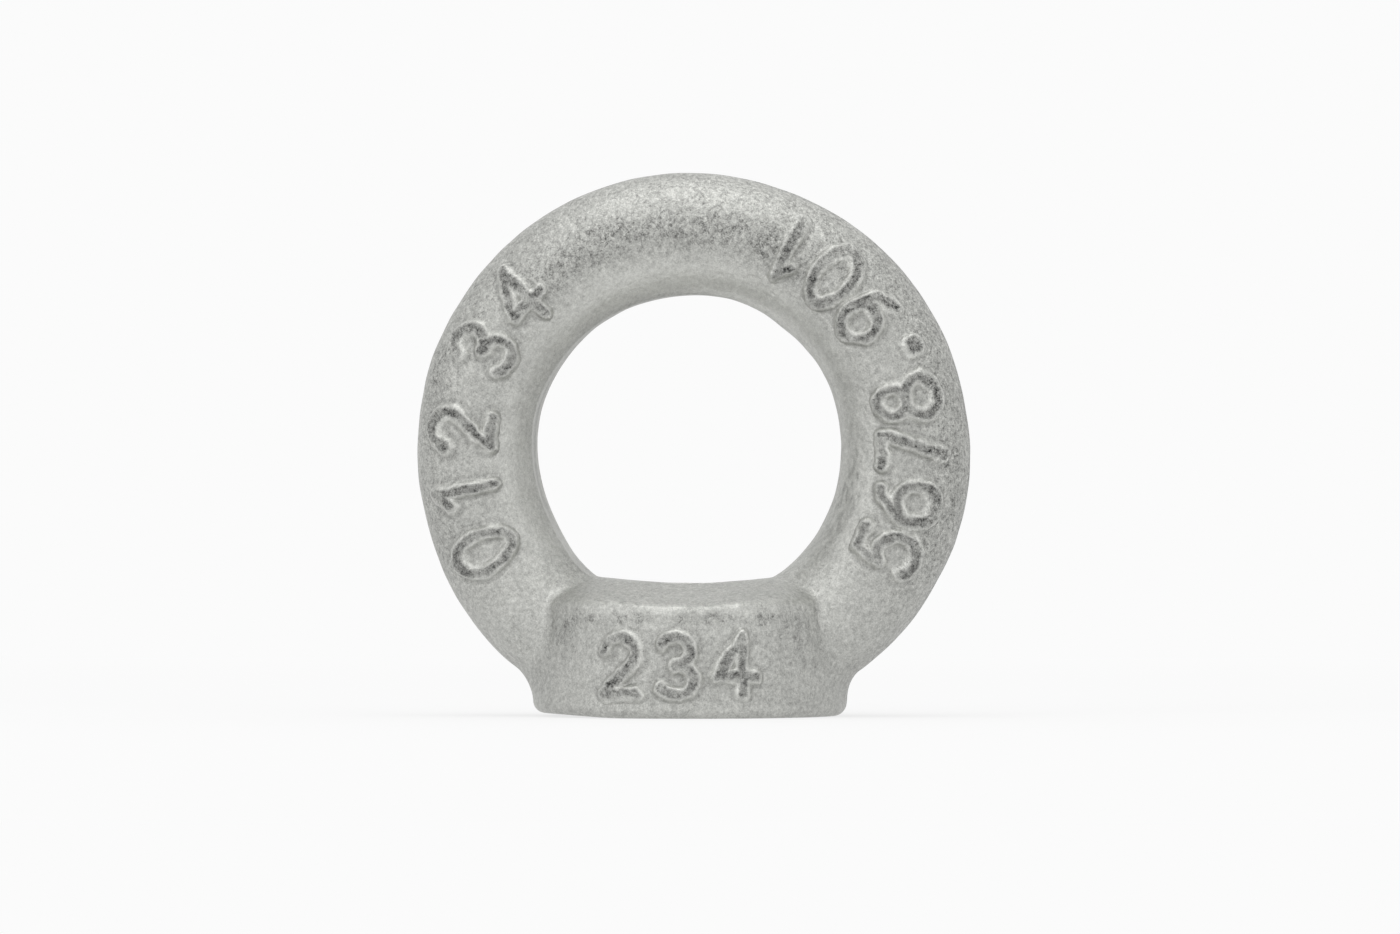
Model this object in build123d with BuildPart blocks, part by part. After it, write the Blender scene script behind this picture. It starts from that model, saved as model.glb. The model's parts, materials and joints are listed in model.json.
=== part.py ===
"""Lifting eye nut, drop forged in one piece and tapped right through for an M12 thread.

Millimetres, +Z up. The origin is the centre of the base face, on the thread's axis. The ring
lies in the XZ plane, so a hook or shackle goes through the eye along Y. The two forging dies
part in that same plane, and every forged face falls away from it to the front and to the back.

The order below is the order of making: the ring and the collar are forged into one another, a
punch trims the flash out of the eye, the base is machined flat, and the bore is drilled.
"""
import math
import os

from build123d import *

# Ring
eye_diameter = 30.0
ring_width = 12.0             # between the eye and the ring's outside, in the ring's plane
crown_thickness = 12.0        # front to back at the top of the ring
root_thickness = 14.0         # front to back at its lowest point, inside the collar

# Floor of the eye
floor_height = 13.2           # its lowest point above the base
floor_width = 17.7            # corner to corner, along the ring
floor_depth = 11.0            # front to back, before the shoulders fall away
floor_radius = 57.0           # its hollow along the ring

# Collar that holds the thread
collar_diameter = 30.9        # at the base
collar_draft = 3.0            # degrees, narrowing upwards
shoulder_height = 9.6         # top of the collar at its front and back, before rounding
shoulder_bow_radius = 33.0    # the shoulder falls away to both legs there
rim_radius = 1.5
leg_fillet = 2.5              # where the ring grows out of the collar
base_edge_radius = 1.0

# Flash and crest that the trimming punch takes off
flash_trim = 0.12             # forged this much into the eye, all round
crest_trim = 0.1              # forged this much above the floor

# Metric thread: the bore stays at the minor diameter, and the thread's turns are not cut
thread_diameter = 12.0
thread_pitch = 1.75
countersink_clearance = 0.4   # mouth of the countersink over the thread's diameter
countersink_angle = 90.0      # degrees, across the cone

RING_STATIONS = 5             # ellipses that carry half of the ring
THREAD_DEPTH = 5 / 8 * math.sqrt(3)   # of a metric nut, on the diameter, in pitches


def sagitta(radius, half_chord):
    """How far an arc of this radius rises over half of its chord."""
    return radius - math.sqrt(radius**2 - half_chord**2)


# The ring's centre stands where the round eye just reaches both corners of the floor.
eye_radius = eye_diameter / 2
floor_corner_height = floor_height + sagitta(floor_radius, floor_width / 2)
ring_centre_height = floor_corner_height + math.sqrt(eye_radius**2 - (floor_width / 2) ** 2)

# Forged section of the ring, from the flash line inside the eye to the outside
section_width = ring_width + flash_trim
section_centre_radius = eye_radius - flash_trim + section_width / 2

# Forged top of the collar
collar_radius = collar_diameter / 2
reach = collar_radius + rim_radius
ridge_height = floor_height + crest_trim
ridge_lift = sagitta(floor_radius, reach)
shoulder_fall = sagitta(shoulder_bow_radius, reach)
blank_height = max(ridge_height + ridge_lift, shoulder_height) + rim_radius
base_stock = base_edge_radius + 2 * leg_fillet   # forged below the base, and machined off
draft_slope = math.tan(math.radians(collar_draft))

# Bore
bore_radius = (thread_diameter - THREAD_DEPTH * thread_pitch) / 2
mouth_radius = (thread_diameter + countersink_clearance) / 2
countersink_slope = math.tan(math.radians(countersink_angle / 2))
countersink_depth = (mouth_radius - bore_radius) / countersink_slope
floor_mouth_radius = mouth_radius + (floor_corner_height - floor_height) * countersink_slope

os.makedirs("parts", exist_ok=True)


# Ring: a sweep from the lowest point up to the crown, through ellipses that grow thinner on
# the way, and its mirror image.
with BuildLine(Plane.XZ) as half_turn:
    CenterArc((0, ring_centre_height), section_centre_radius, -90, 180)
centre_line = half_turn.edges()[0]

with BuildPart() as ring:
    for station in range(RING_STATIONS):
        travel = station / (RING_STATIONS - 1)
        rise = (1 - math.cos(math.pi * travel)) / 2
        thickness = root_thickness + (crown_thickness - root_thickness) * rise
        with BuildSketch(Plane(origin=centre_line @ travel, x_dir=(0, 1, 0), z_dir=centre_line % travel)):
            Ellipse(thickness / 2, section_width / 2)
    sweep(path=centre_line, multisection=True)
    mirror(about=Plane.YZ)

# Collar: a drafted round blank. Its top is one lofted surface through five lines across it,
# hollow along the parting plane, straight where the floor of the eye ends, and bowed over the
# front and the back, so that the rim runs almost level.
crest_lines = [
    # distance from the parting plane, height in the middle, lift at both ends
    (-collar_radius, shoulder_height, -shoulder_fall),
    (-floor_depth / 2, floor_height, 0),
    (0, ridge_height, ridge_lift),
    (floor_depth / 2, floor_height, 0),
    (collar_radius, shoulder_height, -shoulder_fall),
]

with BuildPart() as collar:
    with BuildSketch(Plane.XZ):
        with BuildLine():
            Polyline(
                (0, -base_stock),
                (collar_radius + base_stock * draft_slope, -base_stock),
                (collar_radius - blank_height * draft_slope, blank_height),
                (0, blank_height),
                close=True,
            )
        make_face()
    revolve(axis=Axis.Z)

    top_of_cut = 2 * blank_height
    for distance, height, lift in crest_lines:
        with BuildSketch(Plane.XZ.offset(distance)):
            with BuildLine():
                if lift:
                    crest = ThreePointArc((-reach, height + lift), (0, height), (reach, height + lift))
                else:
                    crest = Line((-reach, height), (reach, height))
                Polyline(crest @ 1, (reach, top_of_cut), (-reach, top_of_cut), crest @ 0)
            make_face()
    loft(mode=Mode.SUBTRACT)
    fillet(collar.edges().filter_by(GeomType.BSPLINE), rim_radius)

with BuildPart() as eye_nut:
    # Forging: the legs of the ring flow out of the collar
    add(ring.part)
    add(collar.part)
    fillet(new_edges(ring.part, collar.part, combined=eye_nut.part), leg_fillet)

    # Trimming punch: a round eye that stops at the hollow floor
    with BuildSketch(Plane.XZ):
        with Locations((0, ring_centre_height)):
            Circle(eye_radius)
        with Locations((0, floor_height + floor_radius)):
            Circle(floor_radius, mode=Mode.INTERSECT)
    extrude(amount=reach, both=True, mode=Mode.SUBTRACT)

    # Machined base
    split(bisect_by=Plane.XY, keep=Keep.TOP)
    fillet(eye_nut.faces().sort_by(Axis.Z)[0].outer_wire().edges(), base_edge_radius)

    # Bore, with a countersink from the base and another that opens through the floor of the eye
    with BuildSketch(Plane.XZ):
        with BuildLine():
            Polyline(
                (0, 0),
                (mouth_radius, 0),
                (bore_radius, countersink_depth),
                (bore_radius, floor_height - countersink_depth),
                (floor_mouth_radius, floor_corner_height),
                (0, floor_corner_height),
                close=True,
            )
        make_face()
    revolve(axis=Axis.Z, mode=Mode.SUBTRACT)

eye_nut.part.label = "eye_nut"
export_step(eye_nut.part, "parts/eye_nut.step")
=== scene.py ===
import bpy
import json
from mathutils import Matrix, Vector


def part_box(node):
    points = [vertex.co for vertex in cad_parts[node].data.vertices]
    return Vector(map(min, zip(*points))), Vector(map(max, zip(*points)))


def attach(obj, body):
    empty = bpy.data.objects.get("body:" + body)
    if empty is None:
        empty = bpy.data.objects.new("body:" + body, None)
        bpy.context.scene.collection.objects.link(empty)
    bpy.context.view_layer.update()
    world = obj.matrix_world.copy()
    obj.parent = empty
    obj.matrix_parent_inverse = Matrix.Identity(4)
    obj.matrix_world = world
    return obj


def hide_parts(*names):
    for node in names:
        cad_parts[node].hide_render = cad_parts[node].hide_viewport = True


bl_info = {
    "name": "Lifting eye nut",
    "version": (1, 0, 0),
    "blender": (4, 5, 0),
    "location": "3D View > Sidebar > Eye Nut",
    "description": "Builds a drop-forged, zinc-plated lifting eye nut with its thread and raised figures",
    "category": "Add Mesh",
}

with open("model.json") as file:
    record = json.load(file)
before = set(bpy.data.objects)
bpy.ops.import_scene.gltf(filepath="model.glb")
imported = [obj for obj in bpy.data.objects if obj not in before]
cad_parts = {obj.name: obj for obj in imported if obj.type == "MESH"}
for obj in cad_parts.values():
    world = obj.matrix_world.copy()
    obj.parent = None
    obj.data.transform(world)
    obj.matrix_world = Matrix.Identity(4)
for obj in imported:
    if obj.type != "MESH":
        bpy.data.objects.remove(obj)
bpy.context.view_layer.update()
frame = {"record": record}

import json
import math
from types import SimpleNamespace

import bpy
import numpy as np
from mathutils import Vector

# Lengths are millimetres until a mesh is made. A turn is an angle round the ring, in degrees,
# from its lowest point towards +X.
MM = 0.001
NODE = "eye_nut"
NODE_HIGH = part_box(NODE)[1]
RECORD = frame["record"]
BORE = next(m for m in RECORD["mounts"] if m["name"] == "thread")
ZINC = RECORD["materials"][0]
SLOT, SKIN_COLOR = ZINC["slot"], ZINC.get("base_color", [0.44, 0.44, 0.42])[:3]
RING_OUTER_RADIUS = NODE_HIGH.x / MM
RING_HEIGHT = NODE_HIGH.z / MM - RING_OUTER_RADIUS


# ----------------------------------------
# Sizes and finishes that a user may change


def length(name, description, millimetres, least=0.0):
    """A length, kept in metres and shown in the scene's units."""
    sizes = dict(default=millimetres * MM, min=least * MM, precision=5)
    return bpy.props.FloatProperty(name=name, description=description, unit="LENGTH", **sizes)


def angle(name, description, degrees):
    """An angle, kept in radians and shown in the scene's units."""
    return bpy.props.FloatProperty(
        name=name, description=description, default=math.radians(degrees), unit="ROTATION"
    )


def colour(name, description, default):
    return bpy.props.FloatVectorProperty(
        name=name, description=description, default=default, subtype="COLOR", size=3, min=0.0, max=1.0
    )


def text(name, description, default):
    return bpy.props.StringProperty(name=name, description=description, default=default)


class ForgingSizes(bpy.types.PropertyGroup):
    eye_radius: length("Eye radius", "Radius of the punched eye", 14.9, 5.0)
    crown_thickness: length("Crown thickness", "Front to back at the top of the ring", 12.0, 1.0)
    root_thickness: length("Root thickness", "Front to back at the ring's lowest point", 14.0, 1.0)
    floor_height: length("Floor height", "Lowest point of the eye's floor above the base", 12.95)
    floor_radius: length("Floor radius", "Hollow of the eye's floor along the ring", 68.0, 20.5)
    floor_depth: length("Floor depth", "Front to back of the floor before the shoulders", 9.0)
    collar_radius: length("Collar radius", "Radius of the collar at its base", 15.45, 8.0)
    collar_draft: angle("Collar draft", "Narrowing of the collar upwards", 3.0)
    shoulder_height: length("Shoulder height", "Top of the collar at its front and back", 10.55)
    shoulder_radius: length("Shoulder bow", "Bow of the shoulder over the front and back", 110.0, 20.5)
    rim_radius: length("Rim radius", "Rounding of the collar's upper rim", 0.95)
    leg_fillet: length("Leg fillet", "Where the ring grows out of the collar", 2.5)
    base_edge: length("Base edge", "Rounding of the base's edge", 0.85)
    unevenness: length("Unevenness", "How far the forged skin strays from its true shape", 0.05)


class ThreadSizes(bpy.types.PropertyGroup):
    nominal_radius: length("Nominal radius", "Radius at the thread's roots", 6.0, 5.2)
    pitch: length("Pitch", "Rise of one turn", 1.75, 0.5)
    mouth_radius: length("Mouth radius", "Radius of the lower countersink at the base", 6.2, 5.2)


class FigureSizes(bpy.types.PropertyGroup):
    left: text("Left figures", "Plain figures up the left side of the ring", "012 34")
    right: text("Right figures", "Plain figures up the right side of the ring", "5678.901")
    collar: text("Collar figures", "Plain figures on the collar's front", "234")
    relief: length("Relief", "Height of the figures over the skin", 0.45)
    stroke: length("Stroke", "Width of a figure's stroke, halfway up its flanks", 1.45)


class FinishColors(bpy.types.PropertyGroup):
    # The skin is a touch greener than the record's plain colour
    skin: colour(
        "Zinc skin",
        "Colour of the zinc over the forged skin",
        (SKIN_COLOR[0], SKIN_COLOR[1] + 0.003, SKIN_COLOR[2] + 0.002),
    )
    cut: colour("Zinc on cut faces", "Colour of the zinc over the machined faces", (0.50, 0.50, 0.485))
    roughness: bpy.props.FloatProperty(
        name="Skin roughness",
        description="Roughness of the forged skin",
        default=0.52,
        min=0.0,
        max=1.0,
        subtype="FACTOR",
    )


class StageSettings(bpy.types.PropertyGroup):
    distance: length("Camera distance", "From the ring's plane", 1150.0, 100.0)
    azimuth: angle("Camera azimuth", "Turn of the camera towards +X", 4.7)
    lens: bpy.props.FloatProperty(
        name="Lens", description="Focal length", default=302.8, min=1.0, unit="CAMERA"
    )
    aim_height: length("Aim height", "Height at the picture's centre", 24.28)
    aim_side: length("Aim side", "Distance of the picture's centre towards +X", 0.7, -100.0)


GROUPS = {
    "eye_nut_forging": ForgingSizes,
    "eye_nut_thread": ThreadSizes,
    "eye_nut_figures": FigureSizes,
    "eye_nut_finish": FinishColors,
    "eye_nut_stage": StageSettings,
}


# ----------------------------------------
# The forging's surface, as signed distances with their outward normals


def unit(vectors):
    """Each vector divided by its length."""
    return vectors / np.maximum(np.linalg.norm(vectors, axis=0), 1e-9)


def step(low, high, value):
    """0 below low, 1 above high, and the cubic 3t2 - 2t3 between them."""
    t = np.clip((value - low) / (high - low), 0, 1)
    return t * t * (3 - 2 * t)


def hill(value, width):
    """The bell curve exp(-(value / width)2)."""
    return np.exp(-((value / width) ** 2))


def on_ring(x, z, s):
    """Distance from the ring's centre, and the turn."""
    return np.hypot(x, z - s.ring_height), np.degrees(np.arctan2(x, s.ring_height - z))


def bumps(turn, *hills):
    """Sum of bell curves round the ring. Each is given by its height, its turn and its width,
    and is measured the shorter way round."""
    return sum(height * hill((turn - place + 180) % 360 - 180, width) for height, place, width in hills)


def fillet(a, b, radius):
    """Two solids joined with a fillet. a and b are (distance, normal). The rounding reaches
    r = radius (1 - the cosine between the normals) from each surface, and there the distance is
    r less the length of (r - a, r - b)."""
    (da, na), (db, nb) = a, b
    r = radius * (1 - np.sum(na * nb, axis=0))
    u, v = np.maximum(r - da, 0), np.maximum(r - db, 0)
    distance = np.maximum(np.minimum(da, db), r) - np.hypot(u, v)
    both = (u > 0) & (v > 0)
    normal = unit(np.where(both, u, da <= db) * na + np.where(both, v, da > db) * nb)
    return distance, normal


def round_edge(a, b, radius):
    """What two solids share, with its edge rounded: the same rule as fillet, turned inside out."""
    (da, na), (db, nb) = a, b
    distance, normal = fillet((-da, -na), (-db, -nb), radius)
    return -distance, -normal


def ring_solid(x, y, z, s):
    """An ellipse carried round a circle. u is the distance outside the circle of centres and y
    the distance from the parting plane. k = |(u/a, y/b)| is 1 on the surface and
    k (k - 1) / |(u/a2, y/b2)| is the distance to it. b falls from root to crown as a cosine."""
    radius = np.maximum(np.hypot(x, z - s.ring_height), 1e-6)
    u = radius - s.ring_centre_radius
    travel = np.arctan2(np.abs(x), s.ring_height - z) / math.pi
    fall = (s.root_thickness - s.crown_thickness) * (1 - np.cos(math.pi * travel)) / 2
    a, b = s.ring_half_width, (s.root_thickness - fall) / 2
    k = np.hypot(u / a, y / b)
    gx, gy = u / a**2, y / b**2
    g = np.maximum(np.hypot(gx, gy), 1e-6)
    normal = np.stack([gx * x / radius, gy, gx * (z - s.ring_height) / radius]) / g
    return k * (k - 1) / g, unit(normal)


def collar_solid(x, y, z, s):
    """A cone with a hollow and bowed top. The top is level up to the floor's edge. From there it
    goes over, along a hyperbola of the distance from the floor's middle line, into the slope
    that falls to the shoulder. Past the ends of that line, distances along x count a little
    more. The ridge rises and the shoulder falls with x as circles do. The rim between side and
    top is rounded."""
    x = x - s.collar_shift
    radius = np.maximum(np.hypot(x, y), 1e-6)
    cos, sin = math.cos(s.collar_draft), math.sin(s.collar_draft)
    side = (radius - s.collar_radius) * cos + z * sin
    side_normal = np.stack([x / radius * cos, y / radius * cos, np.full_like(x, sin)])

    near = np.clip(x, -20, 20)
    up = np.sqrt(s.floor_radius**2 - near**2)
    down = np.sqrt(s.shoulder_radius**2 - near**2)
    ridge = s.ridge_height + s.floor_radius - up
    fall = ridge - (s.shoulder_height - s.shoulder_radius + down)
    wide = s.end_weight * np.maximum(np.abs(x) - s.floor_half_line, 0)
    away = np.maximum(np.hypot(wide, y), 1e-6)
    past = np.maximum(away - s.floor_depth / 2, 0)
    reach = np.hypot(past, s.floor_ease)
    full = math.hypot(s.collar_radius - s.floor_depth / 2, s.floor_ease) - s.floor_ease
    share = (reach - s.floor_ease) / full
    top = ridge - fall * share
    steepness = fall * past / reach / full
    slope_x = near / up * (1 - share) - near / down * share
    slope_x = slope_x - steepness * s.end_weight * wide / away * np.sign(x)
    slope_y = -steepness * y / away
    steep = np.sqrt(1 + slope_x**2 + slope_y**2)
    top_normal = np.stack([-slope_x, -slope_y, np.ones_like(x)]) / steep
    return round_edge((side, side_normal), ((z - top) / steep, top_normal), s.rim_radius)


def punched_solid(x, y, z, s):
    """What the trimming punch leaves: all that lies outside the eye's circle or under the hollow
    floor, with a small fillet in the two corners between them. Bell curves widen the eye at
    both legs, at the left and at the crown, and narrow it at the right."""
    ex, ez = x - s.eye_shift[0], z - s.ring_height - s.eye_shift[1]
    radius = np.maximum(np.hypot(ex, ez), 1e-6)
    flat = np.zeros_like(x)
    turn = np.degrees(np.arctan2(ex, -ez))
    flare = bumps(turn, (0.66, -39, 16), (0.3, 40, 12), (0.17, -106, 14), (-0.27, 80, 24), (0.24, 160, 22))
    eye = s.eye_radius + flare - radius, np.stack([-ex / radius, flat, -ez / radius])
    fx, fz = x - s.floor_shift, s.floor_height + s.floor_radius - z
    reach = np.maximum(np.hypot(fx, fz), 1e-6)
    floor = s.floor_radius - reach, np.stack([-fx / reach, flat, fz / reach])
    return fillet(eye, floor, s.punch_corner)


def waves(x, y, z, shortest, longest, count, seed):
    """Sum of sine waves in evenly drawn directions, divided by the root of their number."""
    rng = np.random.default_rng(seed)
    direction = unit(rng.normal(size=(3, count)))
    wavelength = np.exp(rng.uniform(math.log(shortest), math.log(longest), count))
    phase = rng.uniform(0, 2 * math.pi, count)
    total = np.zeros_like(x)
    for d, size, p in zip(direction.T, wavelength, phase):
        total += np.sin(2 * math.pi / size * (d[0] * x + d[1] * y + d[2] * z) + p)
    return total / math.sqrt(count)


def forged_solid(x, y, z, s, under_figures=False):
    """Ring and collar joined by the leg fillets, trimmed by the punch, and machined flat at the
    base. Bell curves round the ring swell it or draw it in, outside and inside. The leg fillets
    grow towards the base, most on the left. The skin is uneven as forged, by long and by short
    waves, is let down a little where the figures' own pieces lie, and draws in at the foot on
    the right. The base's left part rises a little, and its edge is rounder at both ends."""
    left = 1 - step(-2, 2, x)
    low = 1 - step(5.0, 9.0, z)
    leg = s.leg_fillet * (0.55 + 0.45 * low) + low * (0.45 + 1.5 * left)
    ring, normal = ring_solid(x, y, z, s)
    out, turn = on_ring(x, z, s)
    outer = bumps(turn, (0.5, -46, 17), (0.14, -148, 24), (0.12, 44, 14), (0.25, 76, 14))
    outer = outer + bumps(turn, (-0.24, 150, 20), (-0.06, -88, 8))
    inner = bumps(turn, (0.3, 82, 27)) * (1 - step(16, 19, out))
    ring = ring - (outer * step(19, 26, out) + inner)
    body = fillet((ring, normal), collar_solid(x, y, z, s), leg)
    distance, normal = round_edge(body, punched_solid(x, y, z, s), s.punch_edge)
    rough = s.unevenness * (waves(x, y, z, 7, 20, 18, 3) + 0.35 * waves(x, y, z, 2.2, 5, 22, 4))
    distance = distance - step(0.6, 2.5, z) * rough
    if under_figures:
        distance = distance + s.bed_depth * figure_bed(x, y, z, s)
    distance = distance + 0.3 * (1 - step(0, 2.4, z)) * step(6, 14, x)
    flat = np.zeros_like(x)
    base = 0.30 * step(5.5, 14, -x) - z, np.stack([flat, flat, flat - 1])
    edge = s.base_edge * (1 + 0.35 * step(6, 13, -x) + 0.3 * step(6, 13, x))
    return round_edge((distance, normal), base, edge)


def reach_of(origin, direction, s, far, under_figures=False):
    """How far each ray from inside runs before it leaves the forging, by halving 30 times."""
    near = np.zeros(direction.shape[1:])
    far = np.full(direction.shape[1:], float(far))
    for _ in range(30):
        middle = (near + far) / 2
        inside = forged_solid(*(origin + direction * middle), s, under_figures)[0] < 0
        near, far = np.where(inside, middle, near), np.where(inside, far, middle)
    return (near + far) / 2


LEG_TURN = 52              # sections stand closer within this turn
LEG_SECTIONS = 231
OTHER_SECTIONS = 298
SECTION_POINTS = 164
TRACE_POINTS = 481         # of a section's first trace
RAY_RADIUS = 20.6          # the circle inside the ring that the rays start from
POINT_SPACING = 0.8        # one share of the points for this length,
POINT_BEND = 7             # and one for this bend in degrees
SHARPEST_BEND = 0.25       # radians that count at most in one stretch


def forging_grid(s):
    """The whole skin as a grid of two angles. turn runs round the ring and lean round its
    section: a ray leaves the circle of section centres at that turn, in the plane of the
    outward direction and Y, and the point is where it leaves the forging. Along each section
    the points are spread by length plus how much the surface bends, evened out over 5 points
    and 13 sections."""
    legs = np.linspace(-LEG_TURN, LEG_TURN, LEG_SECTIONS)
    others = np.linspace(LEG_TURN, 360 - LEG_TURN, OTHER_SECTIONS + 2)[1:-1]
    turn = np.radians(np.concatenate([legs, others]))[:, None]
    outward = np.stack([np.sin(turn), np.zeros_like(turn), -np.cos(turn)])
    centre = outward * RAY_RADIUS + np.array([0, 0, s.ring_height])[:, None, None]
    ahead = np.array([0, -1.0, 0])[:, None, None]

    def section(lean):
        direction = outward * np.cos(lean) + ahead * np.sin(lean)
        origin = np.broadcast_to(centre, direction.shape)
        return origin + direction * reach_of(origin, direction, s, 30, True)

    fine = np.broadcast_to(np.linspace(0, 2 * math.pi, TRACE_POINTS), (turn.shape[0], TRACE_POINTS))
    chord = np.diff(section(fine), axis=2)
    heading = unit(chord)
    bend = np.arccos(np.clip(np.sum(heading * np.roll(heading, 1, axis=2), axis=0), -1, 1))
    weight = np.linalg.norm(chord, axis=0) / POINT_SPACING
    weight = weight + np.minimum(bend, SHARPEST_BEND) / math.radians(POINT_BEND)
    for axis, reach in ((1, 2), (0, 6)):
        near = range(-reach, reach + 1)
        weight = sum(np.roll(weight, k, axis=axis) for k in near) / len(near)
    total = np.concatenate([np.zeros((len(weight), 1)), np.cumsum(weight, axis=1)], axis=1)
    total /= total[:, -1:]
    # One interpolation serves all sections: each is set past the one before it
    row = np.arange(len(weight))[:, None] * 1.001
    share = np.arange(SECTION_POINTS) / SECTION_POINTS
    lean = np.interp((share[None] + row).ravel(), (total + row).ravel(), fine.ravel())
    return section(lean.reshape(len(weight), SECTION_POINTS))


def open_grid(index):
    """Quads between the points of a grid, given as a table of their numbers."""
    quads = [index[:-1, :-1], index[1:, :-1], index[1:, 1:], index[:-1, 1:]]
    return np.stack(quads, axis=-1).reshape(-1, 4)


def closed_grid(rows, columns):
    """Quads of a grid that closes on itself both ways."""
    i, j = np.meshgrid(np.arange(rows), np.arange(columns), indexing="ij")
    ni, nj = (i + 1) % rows, (j + 1) % columns
    quads = [i * columns + j, i * columns + nj, ni * columns + nj, ni * columns + j]
    return np.stack(quads, axis=-1).reshape(-1, 4)


# ----------------------------------------
# Meshes


def new_piece(name, points, faces):
    """Mesh object from points in mm, (3, n), and a list of faces."""
    mesh = bpy.data.meshes.new(name)
    mesh.from_pydata((points.T * MM).tolist(), [], [list(map(int, f)) for f in faces])
    mesh.validate()
    mesh.update()
    mesh.shade_smooth()
    piece = bpy.data.objects.new(name, mesh)
    bpy.context.scene.collection.objects.link(piece)
    return piece


def read(items, field, width, kind=np.float32):
    """One field of a mesh's items as an array, a row for each item."""
    values = np.empty(len(items) * width, kind)
    items.foreach_get(field, values)
    return values.reshape(-1, width)


def give_values(mesh, name, values):
    """Puts one number on each vertex."""
    layer = mesh.attributes.new(name, "FLOAT", "POINT")
    layer.data.foreach_set("value", np.ascontiguousarray(values, dtype=np.float32))


def vertices_of(mesh):
    """The vertices in mm, (3, n)."""
    return read(mesh.vertices, "co", 3).T.astype(float) / MM


def face_outwards(mesh):
    """Turns a closed mesh's faces outwards if its volume comes out negative."""
    mesh.calc_loop_triangles()
    corner = read(mesh.loop_triangles, "vertices", 3, np.int32)
    points = vertices_of(mesh)[:, corner]
    volume = np.sum(np.cross(points[:, :, 0], points[:, :, 1], axis=0) * points[:, :, 2])
    if volume < 0:
        mesh.flip_normals()


def wear_of(x, y, z, s):
    """Where the zinc is dark and speckled, from 0 to 1: along the crest of the ring's upper part
    on both faces, down its outside, on the collar's upper corners, low on the legs, and in a
    broken line under the rim at the front. Each place is a product of bell curves and steps.
    Waves break it all into patches and add a little everywhere."""
    out, turn = on_ring(x, z, s)
    turn = np.abs(turn)
    front_or_back = np.abs(y)
    patches = step(-1.1, 0.9, waves(x, y, z, 3, 9, 18, 11))
    crest = hill(out - 21.6, 2.6) * step(132, 146, turn - 8 * (x > 0)) * step(1.5, 3.5, front_or_back)
    outside = hill(out - 26.0, 1.5) * step(50, 75, turn) * (1 - step(125, 150, turn))
    left, right = 0.25 + 0.45 * hill(turn - 108, 10), 0.45 + 0.2 * hill(turn - 92, 14)
    outside = outside * np.where(x < 0, left, right)
    corner = hill(np.abs(x) - 11.5, 3.0) * hill(z - 8.8, 2.0) * step(6, 9, front_or_back)
    legs = hill(np.abs(x) - 17.5, 4.0) * hill(z - 8.0, 4.0) * step(1, 3, front_or_back)
    legs = legs * np.where(x < 0, 0.25, 0.35)
    under_rim = hill(z - 9.6, 0.5) * step(9, 12, -y) * step(-0.6, 0.7, waves(x, y, z, 1.0, 4, 18, 13))
    everywhere = 0.12 * step(0.1, 1.3, waves(x, y, z, 3, 9, 16, 12))
    shares = 0.8 * crest + outside + 0.8 * corner + legs + 1.4 * under_rim
    return np.clip(shares * (0.5 + 0.5 * patches) + everywhere, 0, 1)


def soil_of(x, y, z, s):
    """Dirt in the fine scores beside the eye on its right, which run round the ring, in the
    upright scores at both ends of the collar's front, and in a broken line along the base. The
    scores are waves drawn out along their run."""
    out, turn = on_ring(x, z, s)
    flat = np.zeros_like(x)
    scores = hill(out - 16.2, 1.2) * hill(turn - 73, 21)
    scores = scores * step(-0.3, 0.9, waves(out, turn / 8, flat, 0.4, 1.0, 16, 41))
    broken = step(0.1, 1.0, waves(x, y, flat, 1.2, 5, 16, 42))
    edge = hill(z - 0.55, 0.25) * broken * step(6, 9, np.hypot(x, y))
    bearing = np.degrees(np.arctan2(x, -y))
    ends = hill(np.abs(bearing) - 53, 7) * step(2.5, 6.5, z) * (1 - step(9.4, 10.2, z))
    ends = ends * step(-0.3, 1.0, waves(bearing / 4, z / 6, flat, 0.4, 1.3, 16, 43))
    return 0.85 * scores + 0.25 * edge + 0.36 * ends


def coarse_of(x, y, z, s):
    """Strength of the grain: about 1 on the faces, more round the outside and along the crown,
    and less where the metal was drawn smooth, beside the eye."""
    out, turn = on_ring(x, z, s)
    turn = np.abs(turn)
    outside = (0.35 + 0.25 * step(-4, 4, x)) * step(22.5, 25.0, out) * step(45, 70, turn)
    crown = 0.4125 * hill(out - 22.5, 3.0) * step(120, 142, turn)
    inside = 0.25 * (1 - step(17.0, 19.5, out)) * step(14, 16, z)
    return 0.93 + np.maximum(outside, crown) - inside


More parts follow.
